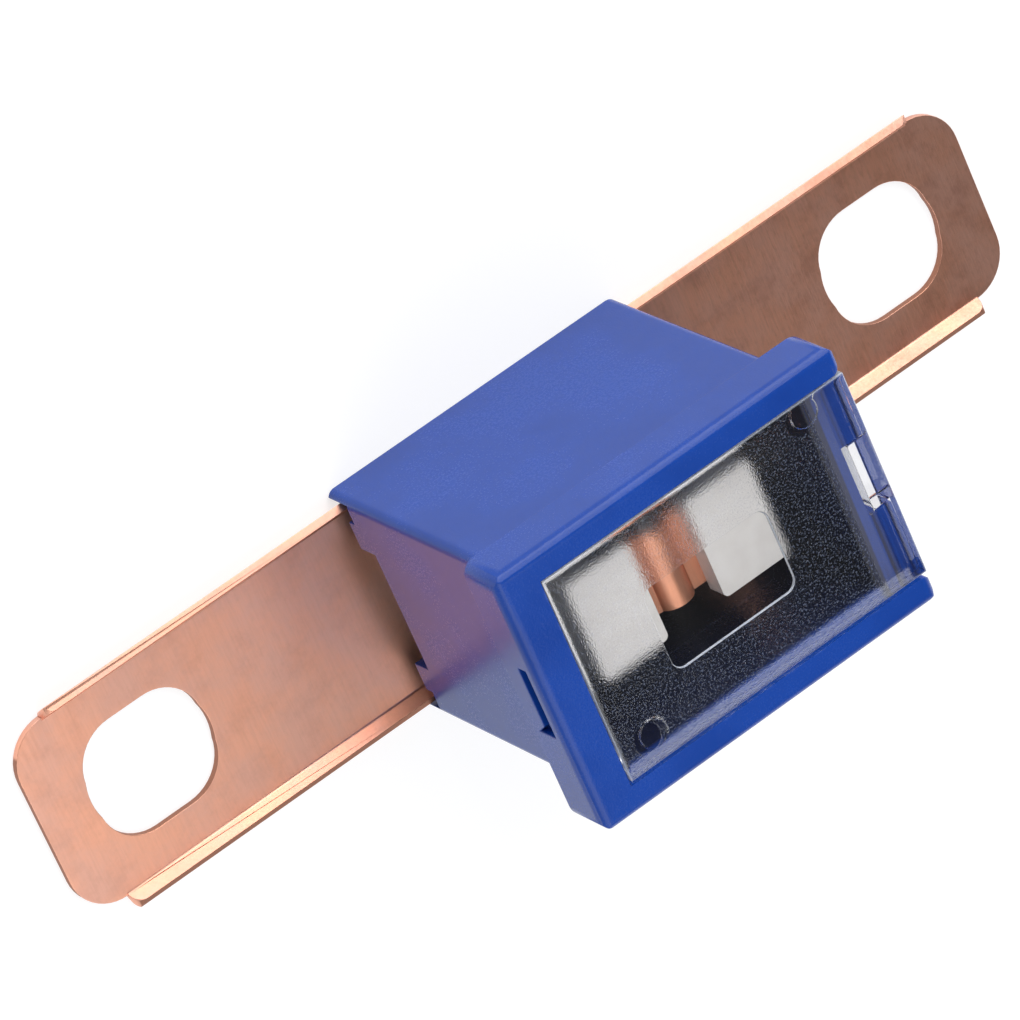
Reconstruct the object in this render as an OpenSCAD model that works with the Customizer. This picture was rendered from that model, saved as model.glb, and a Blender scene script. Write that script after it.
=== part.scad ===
// Bolt-down fuse: a stamped copper strip with a terminal at each end, in a blue
// moulded housing with a clear snap-on cover. Millimetres, +Z up out of the cover.
// X runs along the fuse. The origin is midway between the two bolt holes, on the
// plane that the undersides of the terminals and of the housing share.

/* [Terminals] */

// Distance between the centres of the two bolt holes
hole_pitch = 45; // [43:0.5:54]
// Length over the rounded ends of the two terminals
overall_length = 57.4; // [55.4:0.2:69]
// Width of a terminal over its two turned-up edges
terminal_width = 11.7; // [9.6:0.1:14]
// Length of each bolt hole, along the fuse
hole_length = 7; // [6.8:0.1:8]
// Width of each bolt hole, across its two flats
hole_width = 6.3; // [5.2:0.1:6.4]
// Thickness of the copper sheet
sheet = 0.4; // [0.3:0.05:0.5]
// Height of the turned-up edges, from the underside
lip_height = 1.1; // [1:0.1:1.3]

/* [Housing] */

// Length of the housing below its collar
body_length = 17.6; // [14.6:0.2:21.2]
// Height from the underside to the front of the collar
total_height = 17.9; // [14.8:0.1:21.5]
// Depth of the collar round the cover
collar_depth = 2.9; // [2.6:0.1:3.5]
// How far the collar stands out from the ends of the housing
collar_end_step = 1.3; // [1.1:0.1:1.6]
// How far the collar stands out from the long sides of the housing
collar_side_step = 1; // [0.8:0.1:1.2]
// Thickness of the housing walls
wall = 0.8; // [0.7:0.05:0.95]

/* [Cover] */

// Thickness of the clear cover
cover_thickness = 1.55; // [1.3:0.05:1.8]
// Length of the polished window in the cover
window_length = 7.3; // [6:0.1:9]
// Width of the polished window in the cover
window_width = 4.5; // [3.6:0.1:5.4]
// Width of the cover's latch
latch_width = 3.6; // [3:0.1:4.2]

/* [Fuse link] */

// Width of the link between the two white insulators
link_width = 4.2; // [3.4:0.1:5]
// Clear length of the link between the two white insulators
link_length = 3.4; // [2.8:0.1:4]
// Radius of the tin pellet held under the arch of the link
pellet_radius = 0.55; // [0.45:0.05:0.65]

/* [Show] */

// Which piece to draw

/* [Hidden] */

$fn = 96;

fit = 0.05;          // clearance between pieces that slide together
slot_room = 0.1;     // clearance round a terminal where it leaves the housing
past = 1;            // how far a cutter runs past the face that it cuts

// Copper strip
bend_out = sheet + 0.6;                     // outside radius of a leg's bends
lip_y = terminal_width / 2;                 // outside of a turned-up edge
lip_angle = 60;                             // how far an edge is turned up
lip_bend = 0.15;                            // inside radius of that bend
lip_length = (lip_height - sheet - lip_bend * (1 - cos(lip_angle))) / sin(lip_angle);
floor_y = lip_y - (lip_bend + sheet) * sin(lip_angle)
          - lip_length * cos(lip_angle);    // where the flat floor starts to bend up
flat_y = lip_y - 0.65;                      // half the width of the flat ends
end_corner = 2.3;                           // corner radius of a terminal's end
lip_end_x = overall_length / 2 - end_corner; // where the turned-up edges stop
lip_corner = 0.6;                           // rounding at the end of a turned-up edge
hole_corner = 2.35;                         // corner radius of a bolt hole
hole_bow = 0.15;                            // how far its two ends bow out
hole_arc = hole_width / 2 + 0.12;           // radius of the bowed ends

// Housing
body_x = body_length / 2;
corner_post = 0.3;                          // plastic left outside a terminal's lip
body_y = lip_y + slot_room + corner_post;
collar_z = total_height - collar_depth;
collar_x = body_x + collar_end_step;
collar_y = body_y + collar_side_step;
upright_corner = 0.5;                       // rounding of the housing's upright edges
collar_corner = 0.8;                        // rounding of the collar's upright edges
front_round = 0.55;                         // rounding of the collar's front edge
root_fillet = 0.6;                          // fillet below the collar
cavity_x = body_x - wall;
cavity_y = body_y - wall;
seat_z = total_height - cover_thickness;    // the ledge that the cover lies on
bar_y = 1.45;                               // width of the collar's two long bars
recess_y = collar_y - bar_y;
tip_round = 0.6;                            // rounding inside the tips of those bars
bar_x = 2.1;                                // width of the collar's end bar
recess_x = collar_x - bar_x;                // its inner face, at the left end
slot_depth = wall + 0.8;                    // length of a terminal's slot in the end wall
slot_x = body_x - slot_depth;
mouth_y = 3.35;                             // half the width of the raised mouth
mouth_z = lip_height + 1.4;
shoulder_z = sheet + 0.8;
lip_slot_z = lip_height + 0.65;
lip_slot_y = floor_y - 0.1;

// Clear cover
cover_edge = 0.3;                           // rounding of the cover's front edge
window_step = 0.12;                         // depth of the polished window
window_corner = 0.6;
tongue_height = 0.6;
tongue_length = 1.6;
latch_room = 0.1;
relief_height = 0.7;                        // triangular relief beside the tongue's slot
relief_width = 0.5;
relief_depth = 0.4;
latch_thickness = 0.95;
latch_x = collar_x - latch_thickness;       // inner face of the latch
hook_height = 0.6;
hook_depth = 0.3;                           // how far the hook enters the end wall
hook_z = collar_z - 0.1;                    // top of the hook
pad_radius = 0.75;                          // round ejector pads under the cover
pad_depth = 0.2;
pad_inset_x = 2.35;
pad_inset_y = 1.15;

// Inside: the strip rises in two legs, and an insulator caps the top of each leg
channel_x = slot_x + slot_room;             // where the turned-up edges begin
foot_length = 1.8;                          // flat length between them and a leg's bend
foot_x = channel_x - foot_length;
leg_in = foot_x - bend_out;                 // inner face of a leg
leg_out = leg_in + sheet;
cap_height = 1.2;                           // height of an insulator's top plate
cap_skirt = 1.8;                            // how far its skirt reaches down
cap_wall = 0.55;
cap_corner = 0.3;
cap_x = link_length / 2;                    // inner end of an insulator
cap_end = leg_out + fit + cap_wall;
cap_y = link_width / 2 + cap_wall + 2 * fit;
front_room = 2.85;                          // clear height between insulator and cover
link_top = seat_z - front_room - cap_height; // top face of the link
leg_base_y = flat_y - 1.6;                  // half the width of a leg's lower part
leg_base_z = link_top * 0.65;
arch_in = pellet_radius + fit;              // inside radius of the arch over the pellet
arch_out = arch_in + sheet;
arch_z = link_top - sheet + fit;            // height of the arch's centre
plug_x = leg_in - 0.25;                     // half the length of the bottom cover
plug_height = 1.2;
plug_rib = 1.4;                             // height of its two side ribs
plug_rib_wall = 0.8;

blue = [0.1, 0.2, 0.62];
clear = [0.85, 0.9, 0.95, 0.4];
copper = [0.78, 0.5, 0.36];
tin = [0.75, 0.75, 0.73];
white = [0.92, 0.9, 0.87];

// A rectangle with round corners, centred on the origin.
module round_rect(length, width, r) {
    square([length - 2 * r, width], center = true);
    square([length, width - 2 * r], center = true);
    for (x = [-1, 1], y = [-1, 1])
        translate([x * (length / 2 - r), y * (width / 2 - r)])
            circle(r);
}

// A rectangle from z_low to z_high whose two upper corners are round.
module round_top(length, z_low, z_high, r) {
    translate([-length / 2, z_low])
        square([length, z_high - z_low - r]);
    translate([-length / 2 + r, z_low])
        square([length - 2 * r, z_high - z_low]);
    for (x = [-1, 1])
        translate([x * (length / 2 - r), z_high - r])
            circle(r);
}

// Extrude an outline drawn in X and Z along Y, centred.
module along_y(width) {
    rotate([90, 0, 0])
        linear_extrude(width, center = true)
            children();
}

// Extrude an outline drawn in Y and Z along X, from x_low to x_high.
module along_x(x_low, x_high) {
    translate([x_low, 0, 0])
        rotate([90, 0, 90])
            linear_extrude(x_high - x_low)
                children();
}

// A block with round upright edges and a round upper edge.
module soft_block(length, width, z_low, z_high, upright, upper) {
    intersection() {
        translate([0, 0, z_low])
            linear_extrude(z_high - z_low)
                round_rect(length, width, upright);
        along_y(width + past)
            round_top(length, z_low - past, z_high, upper);
        along_x(-length / 2 - past, length / 2 + past)
            round_top(width, z_low - past, z_high, upper);
    }
}

// Draw the children at the right end and, turned half round, at the left end.
module both_ends() {
    for (turn = [0, 180])
        rotate([0, 0, turn])
            children();
}

// The concave fillet between an upright face at the origin and the collar above it.
module fillet_outline() {
    difference() {
        translate([-fit, -root_fillet])
            square([root_fillet + fit, root_fillet + fit]);
        translate([root_fillet, -root_fillet])
            circle(root_fillet);
    }
}

// Outline of the opening that a terminal leaves the housing through.
module terminal_opening() {
    translate([-lip_y - slot_room, -past])
        square([2 * (lip_y + slot_room), past + shoulder_z]);
    translate([-mouth_y, -past])
        square([2 * mouth_y, past + mouth_z]);
    for (side = [-1, 1])
        scale([side, 1])
            translate([lip_slot_y, -past])
                square([lip_y + slot_room - lip_slot_y, past + lip_slot_z]);
}

// Outline of the recess for the cover. It widens round the tips of the two long bars.
module recess_outline() {
    translate([-recess_x, -recess_y])
        square([recess_x + collar_x + past, 2 * recess_y]);
    for (side = [-1, 1])
        scale([1, side])
            translate([collar_x - tip_round, recess_y])
                difference() {
                    square([tip_round + past, tip_round]);
                    translate([0, tip_round])
                        circle(tip_round);
                }
}

module housing() {
    color(blue)
        difference() {
            union() {
                linear_extrude(collar_z + fit)
                    round_rect(2 * body_x, 2 * body_y, upright_corner);
                soft_block(2 * collar_x, 2 * collar_y, collar_z, total_height,
                           collar_corner, front_round);
                both_ends()
                    translate([body_x, 0, collar_z])
                        along_y(2 * (body_y - upright_corner))
                            fillet_outline();
                both_ends()
                    translate([0, body_y, collar_z])
                        along_x(-body_x + upright_corner, body_x - upright_corner)
                            fillet_outline();
            }
            // Cavity, open at the bottom
            translate([-cavity_x, -cavity_y, -past])
                cube([2 * cavity_x, 2 * cavity_y, seat_z + 2 * past]);
            // Recess for the cover, open at the right end
            translate([0, 0, seat_z])
                linear_extrude(cover_thickness + past)
                    recess_outline();
            both_ends()
                along_x(slot_x, body_x + past)
                    terminal_opening();
            // Slot for the cover's tongue, at the left end
            translate([-collar_x - past, -latch_width / 2 - latch_room, seat_z])
                cube([bar_x + 2 * past, latch_width + 2 * latch_room,
                      tongue_height + latch_room]);
            // Small relief below the front end of that slot
            along_x(-collar_x - past, -collar_x + relief_depth)
                translate([-latch_width / 2 - latch_room, seat_z])
                    polygon([[0, -relief_height], [relief_width, fit], [0, fit]]);
            // Notch for the cover's latch, at the right end
            translate([body_x, -latch_width / 2 - latch_room, hook_z - hook_height - past])
                cube([collar_end_step + past, latch_width + 2 * latch_room,
                      seat_z - hook_z + hook_height + 2 * past]);
            translate([body_x - hook_depth - fit, -latch_width / 2 - latch_room,
                       hook_z - hook_height - fit])
                cube([hook_depth + 2 * fit, latch_width + 2 * latch_room,
                      hook_height + 2 * fit]);
        }
}

module clear_cover() {
    left = -recess_x + fit;
    length = collar_x - left;
    color(clear)
        difference() {
            union() {
                translate([left + length / 2, 0, 0])
                    soft_block(length, 2 * (recess_y - fit), seat_z, total_height,
                               cover_edge, cover_edge);
                // Tongue
                translate([left - tongue_length, -latch_width / 2, seat_z])
                    cube([tongue_length + past, latch_width, tongue_height]);
                // Latch with its hook
                translate([latch_x, -latch_width / 2, hook_z - hook_height])
                    cube([latch_thickness, latch_width, seat_z - hook_z + hook_height + fit]);
                translate([body_x - hook_depth, -latch_width / 2, hook_z - hook_height])
                    cube([latch_x - body_x + hook_depth + fit, latch_width, hook_height]);
            }
            // Polished window
            translate([0, 0, total_height - window_step])
                linear_extrude(past)
                    round_rect(window_length, window_width, window_corner);
            // Ejector pads
            for (side = [-1, 1])
                translate([left + length / 2 + side * (length / 2 - pad_inset_x),
                           side * (recess_y - pad_inset_y), seat_z - past])
                    cylinder(r = pad_radius, h = past + pad_depth);
        }
}

module bottom_cover() {
    color(blue)
        union() {
            translate([-plug_x, -cavity_y + fit, 0])
                cube([2 * plug_x, 2 * (cavity_y - fit), plug_height]);
            for (side = [-1, 1])
                translate([-plug_x, side * (cavity_y - fit - plug_rib_wall / 2)
                           - plug_rib_wall / 2, 0])
                    cube([2 * plug_x, plug_rib_wall, plug_height + plug_rib]);
        }
}

// A point on the right turned-up edge's section, at this radius from its bend's centre
// and this far along the edge.
function on_lip(radius, along) =
    [floor_y + radius * sin(lip_angle) + along * cos(lip_angle),
     lip_bend + sheet - radius * cos(lip_angle) + along * sin(lip_angle)];

// Section of a terminal: a flat floor with both edges turned up at a slant.
module terminal_section() {
    bend = lip_bend + sheet;
    // The flats run into each other, and the bends then round their corners
    right = [[floor_y, 0], on_lip(bend, 0), on_lip(bend, lip_length),
             on_lip(lip_bend, lip_length), [floor_y + lip_bend * tan(lip_angle / 2), sheet]];
    left = [for (i = [len(right) - 1 : -1 : 0]) [-right[i].x, right[i].y]];
    polygon(concat(right, left));
    for (side = [-1, 1])
        scale([side, 1])
            translate([floor_y, bend])
                difference() {
                    intersection() {
                        circle(bend);
                        polygon([[0, 0], [0, -2 * bend],
                                 [2 * bend * sin(lip_angle), -2 * bend * cos(lip_angle)]]);
                    }
                    circle(lip_bend);
                }
}

// Flat outline of the terminal's rounded end.
module terminal_end() {
    intersection() {
        translate([overall_length / 2 - 2 * end_corner - past, 0])
            round_rect(4 * end_corner + 2 * past, 2 * flat_y, end_corner);
        translate([lip_end_x, -flat_y])
            square([end_corner, 2 * flat_y]);
    }
}

// A bolt hole: flat sides, round corners and slightly bowed ends.
module bolt_hole_outline() {
    round_rect(hole_length - 2 * hole_bow, hole_width, hole_corner);
    intersection() {
        union() {
            for (side = [-1, 1])
                translate([side * (hole_length / 2 - hole_arc), 0])
                    circle(hole_arc);
        }
        square([hole_length + past, hole_width / 2], center = true);
    }
}

// Rounds off the upper corner at the end of the turned-up edges.
module lip_end_cutter() {
    along_y(terminal_width + past)
        translate([lip_end_x - lip_corner, lip_height - lip_corner])
            difference() {
                square(lip_corner + past);
                circle(lip_corner);
            }
}

module terminal() {
    difference() {
        union() {
            difference() {
                along_x(channel_x, lip_end_x)
                    terminal_section();
                lip_end_cutter();
            }
            linear_extrude(sheet)
                terminal_end();
            linear_extrude(sheet)
                translate([foot_x, -flat_y])
                    square([foot_length, 2 * flat_y]);
        }
        translate([hole_pitch / 2, 0, -past])
            linear_extrude(sheet + 2 * past)
                bolt_hole_outline();
    }
}

// A quarter ring of sheet, centred on a bend, in the quadrant given by two signs.
module bend_outline(x_sign, z_sign) {
    intersection() {
        difference() {
            circle(bend_out);
            circle(bend_out - sheet);
        }
        scale([x_sign, z_sign])
            square(bend_out);
    }
}

// Side outline of the foot and lower part of the right leg.
module lower_leg_outline() {
    translate([foot_x, bend_out])
        bend_outline(-1, -1);
    translate([leg_in, bend_out])
        square([sheet, leg_base_z - bend_out]);
}

// Side outline of the link: up the narrow top of each leg, and across over the pellet.
module link_outline() {
    for (side = [-1, 1])
        scale([side, 1]) {
            translate([leg_in, leg_base_z])
                square([sheet, link_top - bend_out - leg_base_z]);
            translate([leg_out - bend_out, link_top - bend_out])
                bend_outline(1, 1);
            translate([arch_in, link_top - sheet])
                square([leg_out - bend_out - arch_in, sheet]);
        }
    difference() {
        intersection() {
            translate([0, arch_z])
                circle(arch_out);
            translate([-arch_out, link_top - sheet])
                square([2 * arch_out, 2 * arch_out]);
        }
        translate([0, arch_z])
            circle(arch_in);
    }
}

module fuse_strip() {
    color(copper) {
        both_ends()
            terminal();
        both_ends()
            along_y(2 * leg_base_y)
                lower_leg_outline();
        along_y(link_width)
            link_outline();
    }
}

module tin_pellet() {
    color(tin)
        translate([0, 0, arch_z])
            rotate([90, 0, 0])
                cylinder(r = pellet_radius, h = link_width + 0.5, center = true);
}

// A white cap over the top of a leg: a plate with a skirt on three sides.
module insulator() {
    skirt_x = cap_x + cap_wall + past;
    color(white)
        difference() {
            union() {
                translate([(cap_x + cap_end) / 2, 0, link_top])
                    linear_extrude(cap_height)
                        round_rect(cap_end - cap_x, 2 * cap_y, cap_corner);
                translate([skirt_x, -cap_y, link_top - cap_skirt])
                    cube([cap_end - skirt_x, 2 * cap_y, cap_skirt + cap_height / 2]);
            }
            translate([cap_x - past, -link_width / 2 - fit, link_top - cap_skirt - past])
                cube([leg_out + fit - cap_x + past, link_width + 2 * fit, cap_skirt + past]);
        }
}

module right_insulator() {
    insulator();
}

module left_insulator() {
    rotate([0, 0, 180])
        insulator();
}

housing();
bottom_cover();
fuse_strip();
tin_pellet();
left_insulator();
right_insulator();
clear_cover();
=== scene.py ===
"""Bolt-down fuse: copper strip, blue moulded housing and clear cover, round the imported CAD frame."""

import math

import bmesh
import bpy
from mathutils import Matrix, Vector

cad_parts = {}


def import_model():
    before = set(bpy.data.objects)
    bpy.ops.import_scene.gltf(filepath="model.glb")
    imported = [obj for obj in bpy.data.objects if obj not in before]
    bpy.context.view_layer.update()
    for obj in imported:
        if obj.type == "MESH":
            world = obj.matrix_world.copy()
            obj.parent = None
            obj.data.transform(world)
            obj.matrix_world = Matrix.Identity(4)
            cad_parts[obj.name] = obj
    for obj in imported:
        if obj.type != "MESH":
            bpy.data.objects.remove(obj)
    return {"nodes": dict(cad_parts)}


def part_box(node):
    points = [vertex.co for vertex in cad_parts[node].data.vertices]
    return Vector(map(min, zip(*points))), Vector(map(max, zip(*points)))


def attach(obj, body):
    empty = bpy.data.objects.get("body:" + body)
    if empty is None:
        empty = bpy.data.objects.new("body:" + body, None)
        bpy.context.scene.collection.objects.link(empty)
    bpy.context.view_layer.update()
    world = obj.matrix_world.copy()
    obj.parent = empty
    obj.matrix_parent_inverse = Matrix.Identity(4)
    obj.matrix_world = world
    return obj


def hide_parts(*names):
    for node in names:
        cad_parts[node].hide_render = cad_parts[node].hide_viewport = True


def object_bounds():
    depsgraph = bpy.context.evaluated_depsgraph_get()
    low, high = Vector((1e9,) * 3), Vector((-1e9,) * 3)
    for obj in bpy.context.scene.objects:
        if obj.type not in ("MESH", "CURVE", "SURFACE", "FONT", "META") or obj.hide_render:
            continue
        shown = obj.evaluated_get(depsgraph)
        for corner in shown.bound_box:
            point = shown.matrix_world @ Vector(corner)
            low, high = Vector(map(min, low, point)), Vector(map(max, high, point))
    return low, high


MM = 0.001

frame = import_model()
cad_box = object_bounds()
low, high = cad_box
middle = (low + high) / 2
strip_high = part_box("fuse_strip")[1]
cover_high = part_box("clear_cover")[1]
lid_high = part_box("bottom_cover")[1]

# Places on the pieces
front = high.z                         # front face of the collar and of the cover
right = cover_high.x                   # right end of the collar and of the cover
ledge_z = front - 1.55 * MM            # the ledge that the cover lies on
cavity_x = right - 2.1 * MM            # half the length of the housing's inside
cavity_y = lid_high.y + 0.05 * MM      # half its width, which the bottom cover slides into
lip_y = strip_high.y                   # outside of the terminals' turned-up edges
window_step = 0.12 * MM                # how far the polished window is sunk
clear_end = right - 2.5 * MM           # past this the cover is polished
latch_root = right - 1.3 * MM          # past this the cover is the root of its latch
spot_radius = 0.7 * MM                 # radius of the two polished spots on its front
polished_spots = [Vector((7.0, 4.9)) * MM, Vector((-6.3, -4.2)) * MM]

# Limits for the rounding of edges
sharp = math.radians(40)               # an edge that turns less is left as it is
flat = math.radians(0.5)               # faces that turn less are made one
merge = 0.0005 * MM                    # points this near are one point
sliver = 0.02 * MM                     # a face narrower than this has no room for a bevel
bevel_share = 0.42                     # how much of a neighbouring edge a bevel may take
least_bevel = 0.2                      # a bevel under this share of its width is left out


# ---------------------------------------------------------------- shader maths

class Value:
    """One shader socket. Arithmetic on it adds Math nodes to its finish."""

    def __init__(self, finish, socket):
        self.finish = finish
        self.socket = socket

    def __add__(self, other):
        return self.finish.math("ADD", self, other)

    def __radd__(self, other):
        return self.finish.math("ADD", other, self)

    def __sub__(self, other):
        return self.finish.math("SUBTRACT", self, other)

    def __rsub__(self, other):
        return self.finish.math("SUBTRACT", other, self)

    def __mul__(self, other):
        return self.finish.math("MULTIPLY", self, other)

    def __rmul__(self, other):
        return self.finish.math("MULTIPLY", other, self)

    def __abs__(self):
        return self.finish.math("ABSOLUTE", self)


class Finish:
    """The node tree of one material, or of the world."""

    def __init__(self, name, kind="materials"):
        self.owner = getattr(bpy.data, kind).new(name)
        self.owner.use_nodes = True
        self.tree = self.owner.node_tree
        self.tree.nodes.clear()

    def node(self, kind, settings=None, inputs=None, out=None):
        """Adds a node: its settings, then the values or links of its sockets. Gives one output."""
        made = self.tree.nodes.new(kind)
        for name, value in (settings or {}).items():
            setattr(made, name, value)
        for name, value in (inputs or {}).items():
            socket = next(s for s in made.inputs if name in (s.identifier, s.name))
            if isinstance(value, Value):
                self.tree.links.new(value.socket, socket)
            elif hasattr(value, "__len__") and len(value) == 3 and socket.type == "RGBA":
                socket.default_value = (*value, 1)
            else:
                socket.default_value = value
        return Value(self, next(s for s in made.outputs if out in (None, s.identifier, s.name)))

    def math(self, operation, a, b=0.0):
        return self.node("ShaderNodeMath", {"operation": operation}, {"Value": a, "Value_001": b})

    def place(self):
        """Object coordinates, in metres."""
        return self.node("ShaderNodeTexCoord", out="Object")

    def facing(self):
        """The direction that the surface faces."""
        return self.node("ShaderNodeNewGeometry", out="Normal")

    def parts(self, vector):
        """The three values of a vector."""
        split = self.node("ShaderNodeSeparateXYZ", inputs={"Vector": vector})
        return [Value(self, output) for output in split.socket.node.outputs]

    def rays(self, *kinds):
        """1 for a ray of any of these kinds, otherwise 0."""
        path = self.node("ShaderNodeLightPath").socket.node.outputs
        total = sum(Value(self, path[f"Is {kind} Ray"]) for kind in kinds)
        return self.math("MINIMUM", total, 1.0)

    def edges(self, radius):
        """1 along edges, 0 on flat faces, by how far a rounded edge would turn the surface."""
        rounded = self.node("ShaderNodeBevel", {"samples": 4}, {"Radius": radius})
        alike = self.node("ShaderNodeVectorMath", {"operation": "DOT_PRODUCT"},
                          {"Vector": rounded, "Vector_001": self.facing()}, out="Value")
        return self.between(alike, 0.995, 0.86)

    def pattern(self, vector, scale, detail, rough):
        return self.node("ShaderNodeTexNoise", {"noise_dimensions": "3D"},
                         {"Vector": vector, "Scale": scale, "Detail": detail, "Roughness": rough})

    def noise(self, size, detail, rough=0.5):
        """Noise, 0 to 1, with features of about this size in metres."""
        return self.pattern(self.place(), 1 / size, detail, rough)

    def streaks(self, per_metre, detail, rough=0.5):
        """Noise, 0 to 1, with about this many features in a metre along each axis."""
        stretched = self.node("ShaderNodeMapping", {"vector_type": "POINT"},
                              {"Vector": self.place(), "Scale": per_metre})
        return self.pattern(stretched, 1.0, detail, rough)

    def between(self, value, start, end, at_start=0.0, at_end=1.0):
        """Eases from one number to another as a value goes from start to end, held past both."""
        return self.node("ShaderNodeMapRange", {"interpolation_type": "SMOOTHSTEP", "clamp": True},
                         {"Value": value, "From Min": start, "From Max": end,
                          "To Min": at_start, "To Max": at_end})

    def blend(self, factor, a, b):
        """Mixes two colours."""
        return self.node("ShaderNodeMix", {"data_type": "RGBA"},
                         {"Factor_Float": factor, "A_Color": a, "B_Color": b}, out="Result_Color")

    def bump(self, height, strength, distance):
        return self.node("ShaderNodeBump", inputs={
            "Height": height, "Strength": strength, "Distance": distance})

    def matt(self, colour):
        return self.node("ShaderNodeBsdfDiffuse", inputs={"Color": colour})

    def over(self, factor, below, above):
        """One shader laid over another: 0 shows the one below, 1 the one above."""
        return self.node("ShaderNodeMixShader", inputs={
            "Fac": factor, "Shader": below, "Shader_001": above})

    def surface(self, shader, output="ShaderNodeOutputMaterial"):
        """Ends the tree with this shader. Gives the finished material or world."""
        end = self.tree.nodes.new(output)
        self.tree.links.new(shader.socket, end.inputs["Surface"])
        return self.owner


# ---------------------------------------------------------------- finishes

def painted_inside_shade(f, x, y, z):
    """1 on the walls of the housing's inside, from a little below the cover's ledge, where shade is
    painted.
    """
    below = f.between(z, ledge_z, ledge_z - 0.6 * MM)
    along = f.between(abs(x), cavity_x + 0.1 * MM, cavity_x + 0.05 * MM)
    across = f.between(abs(y), cavity_y + 0.1 * MM, cavity_y + 0.05 * MM)
    return below * along * across


def end_ledge(f, x, y, z):
    """1 on the ledge under the right end of the cover."""
    begins = f.between(x, cavity_x - 0.4 * MM, cavity_x)
    ends = f.between(x, right - 0.1 * MM, right - 0.3 * MM)
    across = f.between(abs(y), cavity_y + 0.35 * MM, cavity_y + 0.3 * MM)
    above = f.between(z, ledge_z - 0.3 * MM, ledge_z - 0.1 * MM)
    below = f.between(z, ledge_z + 0.2 * MM, ledge_z + 0.1 * MM)
    return begins * ends * across * above * below


def moulded_blue():
    """Satin blue nylon: fine grain, faint flow marks, rubbed edges with a painted highlight and
    painted shade inside.
    """
    f = Finish("moulded_blue")
    x, y, z = f.parts(f.place())
    cloud = f.noise(5 * MM, detail=4)
    grain = f.noise(0.11 * MM, detail=2)
    waves = f.noise(1.4 * MM, detail=2)
    colour = f.blend(f.between(cloud, 0.35, 0.65), (0.0030, 0.040, 0.265), (0.0045, 0.049, 0.310))
    # Lighter edges: rubbed wear, and also a painted highlight along the rounded edges.
    scuffs_and_highlight = f.edges(0.14 * MM) * f.between(f.noise(0.5 * MM, detail=4), 0.45, 0.7)
    colour = f.blend(scuffs_and_highlight * 0.35, colour, (0.10, 0.17, 0.50))
    # Painted shade: the walls of the inside are made nearly black, as if unlit.
    colour = f.blend(painted_inside_shade(f, x, y, z), colour, (0.002, 0.006, 0.034))
    # Painted shade: dark stripes across the ledge under the cover's right end, for the shade in its
    # grooves.
    groove_shade = f.between(f.streaks((2300, 40, 40), detail=1), 0.42, 0.58)
    colour = f.blend(end_ledge(f, x, y, z) * groove_shade, colour, (0.004, 0.012, 0.07))
    return f.surface(f.node("ShaderNodeBsdfPrincipled", inputs={
        "Base Color": colour, "Roughness": 0.17 + 0.10 * cloud + 0.08 * grain,
        "IOR": 1.5, "Specular IOR Level": 0.33,
        "Normal": f.bump(grain + waves * 0.9, 0.34, 0.03 * MM)}))


def cut_faces(f, y, z):
    """1 on upright faces near the middle, such as the bolt holes' walls, and on the -Y edges' tops."""
    upward = f.parts(f.facing())[2]
    walls = f.between(abs(upward), 0.75, 0.35) * f.between(abs(y), 4.2 * MM, 4.0 * MM)
    tops = f.between(y, -lip_y + 0.40 * MM, -lip_y + 0.34 * MM)
    tops = tops * f.between(upward, 0.70, 0.80) * f.between(z, 0.6 * MM, 0.7 * MM)
    return f.math("MAXIMUM", walls, tops)


def rolled_copper():
    """Bare copper sheet: rolling lines across the strip, tarnish, browned cut faces and painted shade
    on the right terminal.
    """
    f = Finish("rolled_copper")
    x, y, z = f.parts(f.place())
    lines = f.streaks((7000, 330, 7000), detail=5, rough=0.62)
    flecks = f.streaks((5200, 1500, 5200), detail=3, rough=0.7)
    patches = f.noise(3.2 * MM, detail=6, rough=0.62)
    stains = f.between(f.noise(1.5 * MM, detail=5, rough=0.65), 0.45, 0.75)
    # Tarnish plus painted shade: stains, lines and flecks grow stronger towards the right terminal,
    # darkening it.
    tarnish_and_shade = f.between(x, 6 * MM, 14 * MM, 0.25, 1.0)
    brown = cut_faces(f, y, z)
    colour = f.blend(f.between(patches, 0.32, 0.68) * 0.65, (0.92, 0.455, 0.31),
                     (0.78, 0.46, 0.375))
    colour = f.blend(f.between(z, 2 * MM, 6 * MM) * 0.7, colour, (0.88, 0.37, 0.20))
    colour = f.blend(stains * (0.12 + 0.25 * tarnish_and_shade), colour, (0.42, 0.18, 0.13))
    colour = f.blend(f.between(lines, 0.35, 0.75) * (0.06 + 0.3 * tarnish_and_shade), colour,
                     (0.55, 0.29, 0.21))
    colour = f.blend(f.between(flecks, 0.48, 0.72) * tarnish_and_shade * 0.25, colour, (0.45, 0.21, 0.15))
    colour = f.blend(brown * 0.8, colour, (0.27, 0.12, 0.075))
    return f.surface(f.node("ShaderNodeBsdfPrincipled", inputs={
        "Base Color": colour, "Metallic": 1.0,
        "Roughness": 0.31 + 0.12 * patches + 0.10 * lines + 0.15 * brown,
        "Normal": f.bump((lines + flecks) * tarnish_and_shade, 0.4, 0.014 * MM)}))


def frosting(f, x, y, z):
    """1 on the grained part of the cover's front, 0 on its window, spots and right end."""
    grained = f.between(z, front - 0.7 * window_step, front - 0.4 * window_step)
    grained = grained * f.between(x, clear_end + 0.1 * MM, clear_end)
    for spot in polished_spots:
        apart = f.math("SQRT", (x - spot.x) * (x - spot.x) + (y - spot.y) * (y - spot.y))
        grained = grained * f.between(apart, spot_radius, spot_radius + 0.08 * MM)
    return grained


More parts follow.
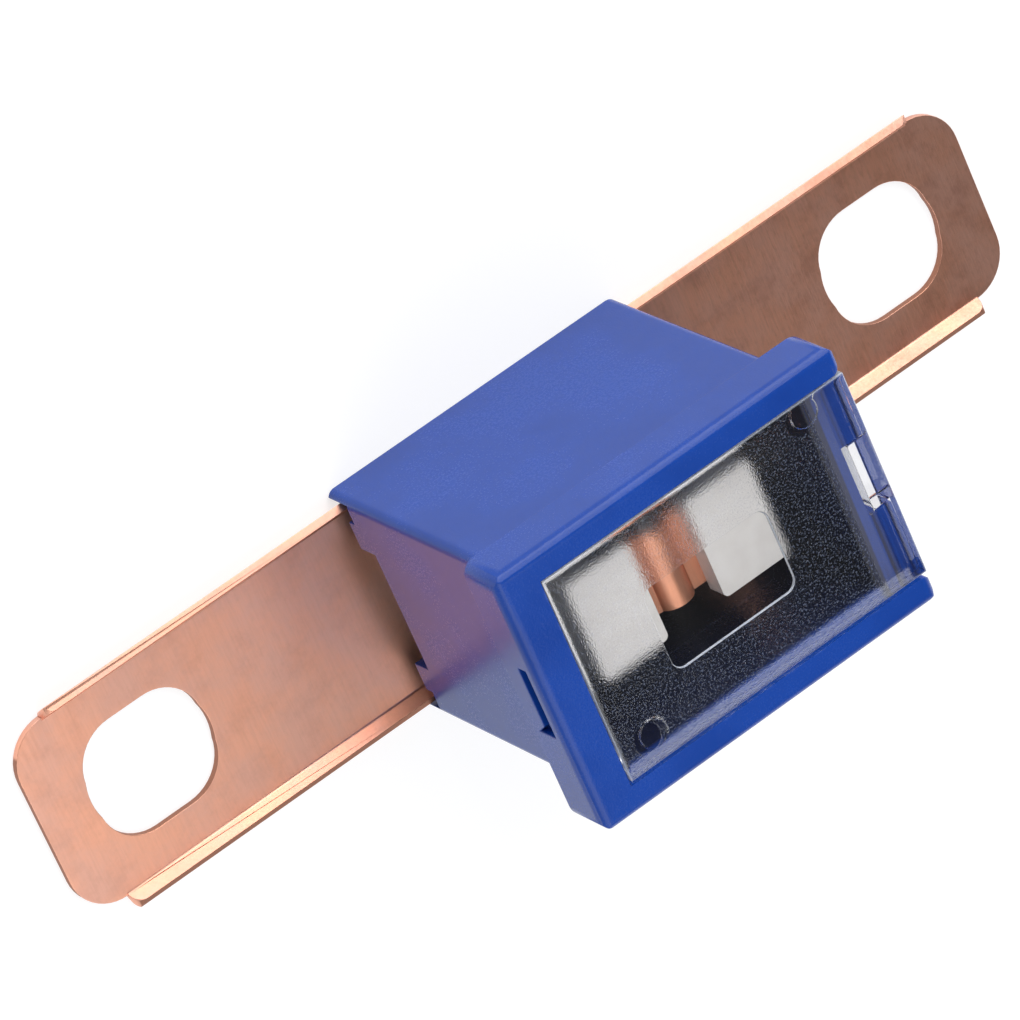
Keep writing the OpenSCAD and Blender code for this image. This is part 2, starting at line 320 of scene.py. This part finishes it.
def clear_moulding():
    """Clear plastic: a grained front, a painted reflection on the bar before the latch and a painted
    highlight on the rim.
    """
    f = Finish("clear_moulding")
    x, y, z = f.parts(f.place())
    _, outward, upward = f.parts(f.facing())
    grained = frosting(f, x, y, z)
    grain = f.noise(0.070 * MM, detail=1)
    latch = f.between(x, latch_root - 0.1 * MM, latch_root)
    plastic = f.node("ShaderNodeBsdfPrincipled", inputs={
        "Base Color": f.blend(latch, (0.93, 0.95, 0.97), (0.84, 0.84, 0.86)),
        "Transmission Weight": 1.0, "IOR": 1.57, "Roughness": 0.015 + 0.075 * grained,
        "Normal": f.bump(grain * grained, 1.0, 0.012 * MM)})
    specks = f.between(f.noise(0.1 * MM, detail=2), 0.50, 0.70)
    plastic = f.over(grained * specks * 0.13, plastic, f.matt((0.55, 0.66, 0.95)))
    # Painted reflection: a grey matt layer on the bar between the grained front and the latch.
    bar_reflection = f.between(x, clear_end, clear_end + 0.1 * MM) * (1 - latch)
    bar_reflection = bar_reflection * f.between(upward, 0.9, 0.97)
    plastic = f.over(bar_reflection * 0.12, plastic, f.matt((0.27, 0.27, 0.28)))
    # Painted highlight: a pale matt layer along the rim of the cover, below its front.
    rim_glint = f.between(z, front - 0.45 * MM, front - 0.35 * MM) * f.between(upward, 0.97, 0.85)
    rim_glint = rim_glint * f.between(upward, -0.5, -0.3) * f.between(outward, -0.8, -0.5)
    plastic = f.over(rim_glint * 0.34, plastic, f.matt((0.80, 0.86, 0.95)))
    through = f.node("ShaderNodeBsdfTransparent", inputs={"Color": (0.96, 0.955, 0.95)})
    return f.surface(f.over(f.rays("Shadow", "Diffuse"), plastic, through))


def white_moulding():
    """White heat-resistant plastic with a dry, slightly mottled surface."""
    f = Finish("white_moulding")
    mottle = f.noise(0.9 * MM, detail=4)
    colour = f.blend(f.between(mottle, 0.3, 0.7), (0.81, 0.765, 0.72), (0.87, 0.83, 0.785))
    return f.surface(f.node("ShaderNodeBsdfPrincipled", inputs={
        "Base Color": colour, "Roughness": 0.5 + 0.15 * mottle,
        "Normal": f.bump(f.noise(0.1 * MM, detail=2), 0.3, 0.02 * MM)}))


def cast_tin():
    """Dull cast tin."""
    f = Finish("cast_tin")
    patches = f.noise(0.4 * MM, detail=4)
    return f.surface(f.node("ShaderNodeBsdfPrincipled", inputs={
        "Base Color": f.blend(patches, (0.55, 0.55, 0.54), (0.72, 0.71, 0.69)),
        "Metallic": 0.9, "Roughness": 0.35 + 0.2 * patches,
        "Normal": f.bump(patches, 0.5, 0.03 * MM)}))


# ---------------------------------------------------------------- pieces

def bevel_room(line):
    """The widest bevel that the edges beside this one leave space for. 0 beside a sliver."""
    widths = [face.calc_area() / max(side.calc_length() for side in face.edges)
              for face in line.link_faces]
    if min(widths) < sliver:
        return 0.0
    return bevel_share * min(other.calc_length() for corner in line.verts
                             for other in corner.link_edges if other is not line)


def weigh_edges(work, width):
    """Gives each sharp edge the share of this width that its bevel has room for."""
    weight = work.edges.layers.float.new("bevel_weight_edge")
    for line in work.edges:
        if len(line.link_faces) != 2 or line.calc_face_angle() < sharp:
            continue
        room = bevel_room(line) / width
        line[weight] = min(1.0, room) if room > least_bevel else 0.0


def pull_in(work, inset):
    """Moves the faces of a mesh inwards by this much."""
    work.normal_update()
    for vertex in work.verts:
        vertex.co -= vertex.normal * vertex.calc_shell_factor() * inset


def applied(mesh, kind, settings):
    """The mesh that one modifier makes of this one."""
    holder = bpy.data.objects.new("holder", mesh)
    bpy.context.scene.collection.objects.link(holder)
    modifier = holder.modifiers.new("change", kind)
    for name, value in settings.items():
        setattr(modifier, name, value)
    depsgraph = bpy.context.evaluated_depsgraph_get()
    made = bpy.data.meshes.new_from_object(holder.evaluated_get(depsgraph))
    bpy.data.objects.remove(holder)
    return made


def finished(node, material, edge, inset=0.0):
    """A copy of a CAD node with its sharp edges rounded by edge, which then stands for it."""
    mesh = frame["nodes"][node].data.copy()
    mesh.materials.clear()
    mesh.materials.append(material)
    work = bmesh.new()
    work.from_mesh(mesh)
    bmesh.ops.remove_doubles(work, verts=work.verts, dist=merge)
    bmesh.ops.dissolve_limit(work, angle_limit=flat, verts=work.verts, edges=work.edges)
    if inset:
        pull_in(work, inset)
    weigh_edges(work, edge)
    for face in work.faces:
        face.smooth = True
    work.to_mesh(mesh)
    work.free()
    rounded = applied(mesh, "BEVEL", {"width": edge, "segments": 3, "limit_method": "WEIGHT",
                                      "use_clamp_overlap": False})
    rounded.set_sharp_from_angle(angle=sharp)
    final = applied(rounded, "WEIGHTED_NORMAL", {"keep_sharp": True})
    piece = bpy.data.objects.new(node + "_piece", final)
    bpy.context.scene.collection.objects.link(piece)
    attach(piece, "root")
    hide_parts(node)


blue = moulded_blue()
white = white_moulding()
finished("housing", blue, 0.05 * MM)
finished("bottom_cover", blue, 0.06 * MM)
finished("fuse_strip", rolled_copper(), 0.03 * MM)
finished("tin_pellet", cast_tin(), 0.12 * MM)
finished("left_insulator", white, 0.15 * MM)
finished("right_insulator", white, 0.15 * MM)
# The cover is pulled in a little, so that none of its faces lies in a face of the housing
finished("clear_cover", clear_moulding(), 0.10 * MM, inset=0.01 * MM)


# ---------------------------------------------------------------- floor, light and camera

def floor_finish():
    """Matt white, with a fainter shadow where it is seen or mirrored, and clear from below."""
    f = Finish("pale_floor")
    matt = f.matt((0.86, 0.86, 0.87))
    glow = f.node("ShaderNodeEmission", inputs={"Color": (1, 1, 1), "Strength": 1.16})
    seen = f.rays("Camera", "Glossy", "Transmission")
    top = f.over(seen, matt, f.over(0.62, matt, glow))
    clear = f.node("ShaderNodeBsdfTransparent")
    return f.surface(f.over(f.node("ShaderNodeNewGeometry", out="Backfacing"), top, clear))


def floor():
    """A wide square just under the part."""
    half = 1.5
    z = low.z - 0.05 * MM
    corners = [(-half, -half, z), (half, -half, z), (half, half, z), (-half, half, z)]
    mesh = bpy.data.meshes.new("floor")
    mesh.from_pydata(corners, [], [(0, 1, 2, 3)])
    mesh.materials.append(floor_finish())
    plane = bpy.data.objects.new("floor", mesh)
    bpy.context.scene.collection.objects.link(plane)


def softbox(name, aim, offset, size, brightness):
    """A rectangular lamp at this offset from its aim. Its face has this brightness; white is 1."""
    light = bpy.data.lights.new(name, "AREA")
    light.shape = "RECTANGLE"
    light.size, light.size_y = size
    light.energy = brightness * math.pi * size[0] * size[1]
    lamp = bpy.data.objects.new(name, light)
    lamp.location = aim + offset
    lamp.rotation_euler = offset.to_track_quat("Z", "Y").to_euler()
    lamp.visible_camera = False
    bpy.context.scene.collection.objects.link(lamp)


def lamps():
    """A broad lamp at the +Y side, one over the left terminal and a key lamp above the first."""
    left_terminal = Vector((-20, 0, 0)) * MM
    softbox("side", middle, Vector((0.335, 0.89, 0.31)) * 0.42, (0.42, 0.25), 3.6)
    softbox("overhead", left_terminal, Vector((-34, -75, 135)) * MM, (0.15, 0.15), 1.9)
    softbox("key", middle, Vector((0.27, 0.58, 0.77)) * 0.5, (0.24, 0.24), 3.0)


def world():
    """Soft light all round, stronger from +X. Shiny faces see a white room with a dim ceiling."""
    f = Finish("studio", "worlds")
    along, _, height = f.parts(f.node("ShaderNodeTexCoord", out="Generated"))
    room = f.node("ShaderNodeBackground", inputs={
        "Strength": f.between(height, 0.25, 0.65, 1.0, 0.10)})
    soft = f.node("ShaderNodeBackground", inputs={
        "Color": (0.98, 0.99, 1), "Strength": 0.58 + 0.30 * along})
    white_wall = f.node("ShaderNodeBackground", inputs={"Color": (1, 1, 1), "Strength": 1})
    unseen = f.over(f.rays("Glossy", "Transmission"), soft, room)
    bpy.context.scene.world = f.surface(f.over(f.rays("Camera"), unseen, white_wall),
                                        "ShaderNodeOutputWorld")


def camera():
    """A long lens that looks down on the housing's front, turned so that the part lies aslant."""
    azimuth, elevation, roll = (math.radians(a) for a in (216.16, 55.57, 114.06))
    distance = 370.8 * MM
    aim = middle + Vector((-4.25, 4.82, 0.05)) * MM
    back = Vector((math.sin(azimuth) * math.cos(elevation),
                   -math.cos(azimuth) * math.cos(elevation), math.sin(elevation)))
    data = bpy.data.cameras.new("camera")
    data.sensor_width = 36
    data.lens = 282.3
    data.clip_start = 0.01
    eye = bpy.data.objects.new("camera", data)
    upright = back.to_track_quat("Z", "Y").to_matrix()
    eye.matrix_world = (Matrix.Translation(aim + back * distance)
                        @ (upright @ Matrix.Rotation(roll, 3, "Z")).to_4x4())
    bpy.context.scene.collection.objects.link(eye)
    bpy.context.scene.camera = eye


floor()
world()
camera()
lamps()
bpy.context.scene.view_settings.view_transform = "Standard"
